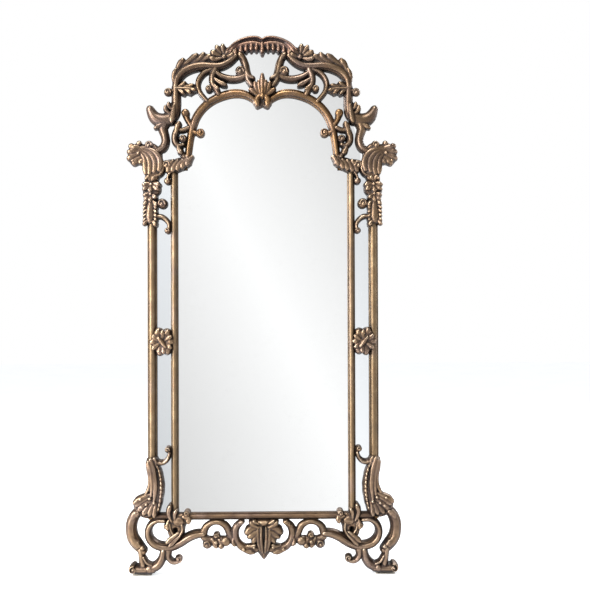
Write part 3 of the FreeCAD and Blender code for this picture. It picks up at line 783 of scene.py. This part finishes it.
def arch_moulding():
    arch = [
        (-20, 1893, 25), (-45, 1913, 30), (-76, 1927, 34), (-112, 1930, 36), (-160, 1920, 36),
        (-205, 1899, 35), (-241, 1869, 34), (-266, 1833, 34), (-280, 1796, 34), (-289, 1755, 31),
        (-295, 1715, 30), (-300, 1672, 29),
    ]
    club = [(-284, 1796, 22), (-300, 1820, 23), (-308, 1843, 30)]
    left = [relief(arch, -27, 0, moulded, 34), relief(club, -27), ball(-309, 1850, 17, -31)]
    left += volute(-250, 1770, 20, 60, -1.2, -31)
    left.append(relief([(-284, 1776, 20), (-268, 1770, 22)], -27))
    bridge = relief([(-30, 1898, 22), (0, 1890, 24), (30, 1898, 22)], -27)
    return left + flipped(left) + [bridge]


def straight_moulding(node, gilt):
    """A stile or rail over the CAD node's own length, width and depth, with a turned-in section."""
    low, high = (np.array(corner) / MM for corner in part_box(node))
    middle = (low + high) / 2
    wide, _, tall = high - low
    if tall > wide:
        stations = [(middle[0], low[2], wide), (middle[0], high[2], wide)]
    else:
        stations = [(low[0], middle[2], tall), (high[0], middle[2], tall)]
    bar = relief(stations, low[1], GLASS_FRONT, moulded, 48, spacing=12, blunt=False)
    place_piece(mesh_object("gilt_" + node, *joined([bar])), node, gilt)


# ---- Materials ----

def linear(code):
    """An sRGB colour such as "#6b5440" as Blender's linear RGBA."""
    channels = [int(code[i:i + 2], 16) / 255 for i in (1, 3, 5)]
    return [c / 12.92 if c <= 0.04045 else ((c + 0.055) / 1.055) ** 2.4 for c in channels] + [1.0]


class Nodes:
    """The node tree of a material or world, with short ways to add to it."""

    def __init__(self, owner):
        owner.use_nodes = True
        self.tree = owner.node_tree

    def feed(self, socket, value):
        if isinstance(value, bpy.types.NodeSocket):
            self.tree.links.new(value, socket)
        else:
            socket.default_value = value

    def add(self, kind, inputs=(), **settings):
        """A new node. inputs pairs the name or number of a socket with a value or another node's output."""
        made = self.tree.nodes.new("ShaderNode" + kind)
        for name, value in settings.items():
            setattr(made, name, value)
        for socket, value in dict(inputs).items():
            self.feed(made.inputs[socket], value)
        return made

    def math(self, operation, a, b=0.0):
        return self.add("Math", {0: a, 1: b}, operation=operation).outputs[0]

    def total(self, *terms):
        """The sum of (value, weight) terms and plain numbers."""
        result = 0.0
        for term in terms:
            part = self.math("MULTIPLY", *term) if isinstance(term, tuple) else term
            result = self.math("ADD", part, result)
        return result


class Paint(Nodes):
    """Builds one material. Its textures follow the object's own coordinates, in metres."""

    def __init__(self, name):
        self.material = bpy.data.materials.new(name)
        super().__init__(self.material)
        self.shader = self.tree.nodes["Principled BSDF"]
        self.coordinates = self.add("TexCoord").outputs

    def set(self, **inputs):
        for name, value in inputs.items():
            self.feed(self.shader.inputs[name.replace("_", " ").title().replace("Ior", "IOR")], value)

    def noise(self, scale, detail=4.0, roughness=0.55, squeeze=(1, 1, 1)):
        """Clouds from 0 to 1. A squeeze under 1 draws them out along that axis."""
        place = self.add("Mapping", {"Vector": self.coordinates["Object"], "Scale": squeeze}).outputs[0]
        look = {"Vector": place, "Scale": scale, "Detail": detail, "Roughness": roughness}
        return self.add("TexNoise", look).outputs[0]

    def between(self, value, low, high, at_low=0.0, at_high=1.0):
        """A soft step from at_low to at_high as the value goes from low to high."""
        inputs = enumerate((value, low, high, at_low, at_high))
        return self.add("MapRange", inputs, interpolation_type="SMOOTHSTEP").outputs[0]

    def ramp(self, value, *stops):
        made = self.add("ValToRGB", {0: value})
        elements = made.color_ramp.elements
        elements[0].position, elements[0].color = stops[0][0], linear(stops[0][1])
        elements[1].position, elements[1].color = stops[-1][0], linear(stops[-1][1])
        for position, code in stops[1:-1]:
            elements.new(position).color = linear(code)
        return made.outputs[0]

    def mix(self, share, a, b):
        return self.add("Mix", {0: share, 6: a, 7: b}, data_type="RGBA").outputs[2]

    def bump(self, height, distance, strength):
        made = self.add("Bump", {"Height": height, "Distance": distance, "Strength": strength})
        self.set(normal=made.outputs[0])


SMOKE = "#2b1b19", "#a08a80"


def gilt(name, deep, low, middle, high, pale, bole, drift, reach, gloss):
    """Worn bronze gilding over gesso: dark glaze lies in the hollows and down the sides, ridges are rubbed
    pale, broad clouds of it drift to other tints, and red bole shows through where the leaf is thin. Painted
    shade darkens recesses and the sides that turn from the front, and painted light makes faces that turn up
    paler and those that turn down darker."""
    p = Paint(name)
    hollow = p.add("Attribute", attribute_name="hollow").outputs["Fac"]
    clouds = p.noise(24, 5)
    grain = p.noise(190, 4, 0.65)
    # Painted shade: ambient occlusion darkens the tone in recesses, creases and where pieces meet.
    painted_occlusion_shade = p.add("AmbientOcclusion", {"Distance": 0.03}, samples=8).outputs["AO"]
    facing = p.add("SeparateXYZ", {0: p.coordinates["Normal"]}).outputs
    # Partly dark glaze and partly painted shade: the sides, which turn away from the front, are darker than
    # faces that look forward.
    forward = p.math("ABSOLUTE", facing["Y"])
    # Painted light: the normal's z term paints faces that turn up paler and faces that turn down darker, as
    # if lit from above.
    tone = p.total(
        (hollow, -reach), (clouds, 0.3), (grain, 0.12), (p.between(painted_occlusion_shade, 0.2, 0.95), 0.3),
        (p.between(forward, 0.1, 0.85), 0.18), (facing["Z"], 0.18), -0.23,
    )
    colour = p.ramp(tone, (0.0, deep), (0.2, low), (0.46, middle), (0.72, high), (1.0, pale))
    for scale, clear, full, share, tints in ((11, 0.35, 0.68, 0.36, drift), (8, 0.48, 0.72, 0.5, SMOKE)):
        cover = p.math("MULTIPLY", p.between(p.noise(scale, 3), clear, full), share)
        colour = p.mix(cover, colour, p.ramp(tone, (0.1, tints[0]), (0.9, tints[1])))
    thin_leaf = p.math("MULTIPLY", p.between(p.noise(46, 6, 0.7), 0.56, 0.7), p.between(tone, 0.3, 0.6))
    p.set(
        base_color=p.mix(p.math("MULTIPLY", thin_leaf, 0.5), colour, linear(bole)),
        metallic=p.between(tone, 0.05, 0.55, 0.25, 0.88),
        roughness=p.total((p.between(tone, 0.1, 0.9), -0.24), (p.noise(85, 4), 0.18), 0.56 - gloss),
    )
    p.bump(p.total((p.noise(120, 5, 0.6), 0.6), (p.noise(620, 3), 0.25)), 0.0011, 0.55)
    return p.material


def mirror(name, tint):
    """Silvered glass with a little dust and a breath of haze."""
    p = Paint(name)
    dust = p.between(p.noise(9, 6, 0.7), 0.5, 0.85)
    specks = p.between(p.noise(420, 2), 0.72, 0.8)
    film = p.total((dust, 0.035), (specks, 0.08))
    p.set(
        base_color=p.mix(film, linear(tint), linear("#b9b4aa")), metallic=p.total((film, -0.8), 1.0),
        roughness=p.total((film, 0.9), (p.noise(3, 3), 0.02), 0.005), coat_weight=0.4, coat_roughness=0.02,
    )
    return p.material


def hardboard(name):
    """Pressed wood fibre: flecks, a fine print of the press mesh, and damp clouds."""
    p = Paint(name)
    fibre = p.noise(260, 6, 0.75)
    flecks = p.noise(64, 6, 0.85)
    blotch = p.noise(7, 4)
    mesh_print = p.noise(520, 2)
    figure = p.total((fibre, 0.45), (flecks, 0.6), (blotch, 0.25), -0.15)
    p.set(
        base_color=p.ramp(figure, (0.3, "#4c3524"), (0.52, "#7a5a3e"), (0.75, "#a8845e")),
        roughness=p.total((blotch, 0.2), 0.68), specular_ior_level=0.25,
    )
    p.bump(p.total((fibre, 0.7), (mesh_print, 0.3)), 0.0006, 0.5)
    return p.material


def pine(name, squeeze):
    """Planed softwood with its grain along the squeezed axis, a few dark lines and handling marks."""
    p = Paint(name)
    growth = p.noise(75, 4, 0.6, squeeze)
    pores = p.noise(520, 3, 0.6, squeeze)
    soil = p.noise(5, 5)
    figure = p.total((growth, 0.8), (pores, 0.25), (soil, 0.3), -0.2)
    p.set(
        base_color=p.ramp(figure, (0.2, "#6e4a2b"), (0.45, "#a87f52"), (0.62, "#c9a271"), (0.85, "#d9ba8b")),
        roughness=p.total((pores, 0.2), (soil, 0.15), 0.42), specular_ior_level=0.35,
    )
    p.bump(p.total((growth, 0.5), (pores, 0.5)), 0.0008, 0.5)
    return p.material


def plated(name, dark, light, spangle):
    """Zinc-plated steel: a cloudy crystal pattern, tarnish and faint scratches."""
    p = Paint(name)
    crystals = p.add("TexVoronoi", {"Scale": spangle, "Vector": p.coordinates["Object"]})
    tarnish = p.noise(140, 5)
    scratches = p.noise(900, 2, 0.5, (1, 1, 0.1))
    figure = p.total((crystals.outputs["Distance"], 0.5), (tarnish, 0.6), -0.05)
    p.set(
        base_color=p.ramp(figure, (0.15, dark), (0.7, light)), metallic=0.95,
        roughness=p.total((tarnish, 0.3), (scratches, 0.15), 0.2),
    )
    p.bump(p.total((scratches, 0.5), (tarnish, 0.5)), 0.0002, 0.5)
    return p.material


def soft_pad(name, dark, light, scale, roughness, depth):
    """Rubber or felt: dull, with dust on it and a surface of its own grain."""
    p = Paint(name)
    nap = p.noise(scale, 5, 0.7)
    dust = p.noise(60, 4)
    p.set(
        base_color=p.ramp(p.total((nap, 0.6), (dust, 0.5), -0.05), (0.25, dark), (0.8, light)),
        roughness=p.total((dust, 0.15), roughness), specular_ior_level=0.3,
    )
    p.bump(nap, depth, 0.6)
    return p.material


# ---- Pads, and the CAD's own pieces ----

def make_foot_pads(felt):
    """The felt under each foot, trimmed back from the edge and worn round."""
    low, high = (np.array(corner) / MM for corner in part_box("foot_pads"))
    thick, inset = high[2] - low[2], 7.0
    x0, x1 = high[0] - FOOT_PAD_LENGTH + inset, high[0] - inset
    y0, y1 = low[1] + 4 * inset, high[1] - 2 * inset
    rim = []
    for x, y, start in ((x1, y1, 90), (x1, y0, 0), (x0, y0, -90), (x0, y1, -180)):
        turn = np.radians(np.arange(start, start - 91, -15))
        rim.append(np.stack([x + inset * np.cos(turn), y + inset * np.sin(turn)], axis=1))
    rim = np.concatenate(rim)
    middle = (x0 + x1) / 2, (y0 + y1) / 2
    rings = []
    for up, grow in ((0, 0.97), (0.3, 1.0), (0.7, 1.0), (1, 0.96)):
        ring = middle + (rim - middle) * grow
        rings.append(np.insert(ring, 2, low[2] + up * thick, axis=1))
    pad = (np.concatenate(rings), skin(len(rings), len(rim)))
    place_piece(mesh_object("felt_foot_pads", *joined([pad] + flipped([pad]))), "foot_pads", felt)


def finish_cad_nodes():
    """Gives the CAD's own visible nodes their materials."""
    finishes = {
        mirror("silvered_glass", "#fbfbfa"): ["main_mirror_glass", "crest_mirror_glass"],
        mirror("silvered_glass_cool", "#f5f8fa"): ["side_mirror_glass_left", "side_mirror_glass_right"],
        hardboard("hardboard"): ["main_back_panel", "crest_back_panel"],
        pine("pine_upright", (1, 1, 0.05)): ["rear_stile_left", "rear_stile_right", "panel_beads"],
        pine("pine_lying", (0.05, 1, 1)): [
            "rear_bottom_rail", "rear_mid_rail", "rear_top_rail", "crest_brace",
        ],
        plated("zinc", "#7d8286", "#c6cbce", 60): ["hanger_straps", "d_ring_left", "d_ring_right"],
        plated("yellow_zinc", "#6d5a2e", "#cdb062", 300): ["back_screws"],
        soft_pad("bumper_rubber", "#1b1b1c", "#38383a", 500, 0.7, 0.0003): ["wall_bumpers"],
    }
    for material, names in finishes.items():
        for name in names:
            dress(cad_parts[name].data, material)


# ---- Stage, light and camera, in metres ----

VIEWER = (0.065, -4.0, 1.085)
CAMERA_SKY = 1.0               # brightness of the backdrop, as the camera, soft light and gloss see it
SOFT_SKY = 0.55
GLOSSY_SKY = 0.24
FLOOR_HALF = 14
CARD_DISTANCE = 1.1            # in front of the glass
BAND = ((-0.296, 1.782), (0.267, 0.615))     # two points of the glass on the bright band, as x and z
BAND_LIGHT, BAND_FADE = 1.02, 0.41           # brightness on the band, and its loss with each metre from it


def stage_sheet(name, corners, material):
    thing = mesh_object(name, np.array(corners, float), [list(range(len(corners)))])
    dress(thing.data, material)
    return thing


def make_floor():
    """A pale floor that meets the backdrop without a line: it glows for the camera, less in the glass."""
    p = Paint("studio_floor")
    scuff = p.noise(2.2, 4)
    rays = p.add("LightPath").outputs
    glow = p.total((rays["Is Camera Ray"], 0.5), (rays["Is Glossy Ray"], 0.3))
    p.set(
        base_color=p.ramp(scuff, (0.3, "#f3f5f7"), (0.7, "#fafbfc")), roughness=p.total((scuff, 0.1), 0.75),
        specular_ior_level=0.2, emission_color=linear("#fbfdff"), emission_strength=glow,
    )
    corners = [(x * FLOOR_HALF, y * FLOOR_HALF, 0) for x, y in ((-1, -1), (1, -1), (1, 1), (-1, 1))]
    stage_sheet("studio_floor", corners, p.material)


def on_card(x, z):
    """Where the viewer sees, in the mirror, the card's point behind mirror point x, z."""
    grow = CARD_DISTANCE / (GLASS_FRONT * MM - VIEWER[1])
    return x + (x - VIEWER[0]) * grow, z + (z - VIEWER[2]) * grow


def make_reflector():
    """A white card that only the mirror and the gilding see, brightest along a slanting band."""
    p = Paint("reflector_card")
    axes = p.add("SeparateXYZ", {0: p.coordinates["Object"]}).outputs
    (x0, z0), (x1, z1) = (on_card(*point) for point in BAND)
    length = math.hypot(x1 - x0, z1 - z0)
    nx, nz = (z1 - z0) / length, -(x1 - x0) / length
    away = p.math("ABSOLUTE", p.total((axes["X"], nx), (axes["Z"], nz), -(x0 * nx + z0 * nz)))
    light = p.total((away, -BAND_FADE), BAND_LIGHT)
    p.set(base_color=linear("#000000"), emission_color=linear("#fdfeff"), emission_strength=light)
    left, _ = on_card(-0.5, 0)
    right, top = on_card(0.5, 2.2)
    corners = [(x, -CARD_DISTANCE, z) for x, z in ((left, 0.01), (right, 0.01), (right, top), (left, top))]
    card = stage_sheet("reflector_card", corners, p.material)
    card.visible_camera = card.visible_diffuse = card.visible_shadow = False


def area_light(name, place, target, width, height, power):
    light = bpy.data.lights.new(name, "AREA")
    light.shape, light.size, light.size_y, light.energy = "RECTANGLE", width, height, power
    thing = put_in_scene(name, light)
    thing.location = place
    thing.rotation_euler = (Vector(target) - Vector(place)).to_track_quat("-Z", "Y").to_euler()


def make_world():
    """White behind the object, and a dimmer even light on it."""
    world = bpy.data.worlds.new("studio")
    bpy.context.scene.world = world
    nodes = Nodes(world)
    rays = nodes.add("LightPath").outputs
    to_camera, to_gloss = CAMERA_SKY - SOFT_SKY, GLOSSY_SKY - SOFT_SKY
    strength = nodes.total((rays["Is Camera Ray"], to_camera), (rays["Is Glossy Ray"], to_gloss), SOFT_SKY)
    sky = nodes.tree.nodes["Background"].inputs
    nodes.feed(sky["Color"], (1, 1, 1, 1))
    nodes.feed(sky["Strength"], strength)


def make_camera(place, yaw, pitch, roll, lens):
    """Angles in degrees: yaw towards +x, pitch up, roll with the right side down."""
    data = bpy.data.cameras.new("camera")
    data.lens, data.sensor_width = lens, 36
    camera = put_in_scene("camera", data)
    aim = Euler((math.radians(90 + pitch), 0, math.radians(-yaw))).to_matrix()
    aim @= Matrix.Rotation(math.radians(-roll), 3, "Z")
    camera.matrix_world = Matrix.Translation(place) @ aim.to_4x4()
    bpy.context.scene.camera = camera


# ---- The scene ----

bpy.context.scene.view_settings.view_transform = "Standard"
make_camera(VIEWER, yaw=0.91, pitch=0.48, roll=0.2, lens=60.6)
make_world()
make_floor()
make_reflector()
area_light("key", (-2.6, -2.4, 1.9), (0, 0, 1.15), 0.9, 2.4, 145)
area_light("left", (-1.75, -0.42, 1.2), (-0.5, 0, 1.2), 0.5, 2.6, 55)
area_light("fill", (2.8, -2.2, 1.6), (0, 0, 1.0), 0.9, 0.9, 8)
area_light("top", (-0.4, -1.0, 3.7), (0, 0, 1.4), 1.2, 1.2, 55)
area_light("side", (3.2, 0.9, 1.5), (0.5, 0, 1.1), 1.2, 2.0, 30)
area_light("rear", (1.6, 3.0, 2.6), (0, 0, 1.1), 1.8, 1.8, 60)

# Each gilt: its tones from the darkest, in the deepest hollow and the painted shade, to the palest, on the
# rubbed ridge and the painted light, the bole, the dark and light end of its drift, how far a hollow changes
# the tone, and its gloss.
umber, amber, plum = ("#35241a", "#b5946c"), ("#452b12", "#c2905a"), ("#3a2022", "#b08a78")
gilts = {
    "bronze": ("#0d0907", "#261a16", "#493930", "#7c6956", "#d8c9ac", "#5a2f22", umber, 0.3, 0.12),
    "pale_bronze": ("#0f0b08", "#291d19", "#4f3e35", "#86715e", "#e4d5bc", "#5a2f22", umber, 0.34, 0.13),
    "ruddy": ("#0e0907", "#2b1b17", "#543e35", "#896e5a", "#e0ccb0", "#603022", plum, 0.3, 0.1),
    "honey": ("#120b06", "#2c1e12", "#57422f", "#8b6f50", "#dcc69c", "#5f3020", amber, 0.26, 0.14),
    "straw": ("#1a120b", "#3b2e22", "#77634a", "#c2ad8c", "#fff5e4", "#5f3020", umber, 0.36, 0.12),
    "brown": ("#120b07", "#2e2119", "#4a382c", "#5e4a3b", "#84705b", "#5a2f22", umber, 0.2, 0.0),
}
bronze, pale_bronze, ruddy, honey, straw, brown = (
    gilt("gilt_" + name, *look) for name, look in gilts.items()
)

carved_single(crest_shell, ruddy)
carved_single(crest_palmette, honey)
for carving in (crest_arm, lyre_scroll, crescent_scroll, shoulder_horn, shoulder_hook):
    carved_pair(carving, bronze)
for carving in (
    ear_leaf, elbow_leaf, pendant, mid_rosette, buttress_leaf, corner_leaf, ring_scroll, side_scroll, foot,
):
    carved_pair(carving, pale_bronze)
carved_pair(apron_scroll, bronze)
carved_single(apron_palmette, bronze)
carved_single(arch_moulding, honey, 1.6)

straight_moulding("bottom_rail", brown)
for side in ("left", "right"):
    straight_moulding("inner_stile_" + side, straw)
    straight_moulding("outer_stile_" + side, straw)
make_foot_pads(soft_pad("pad_felt", "#b3aa9c", "#d8d2c8", 900, 0.82, 0.0006))
finish_cad_nodes()

bpy.context.view_layer.update()
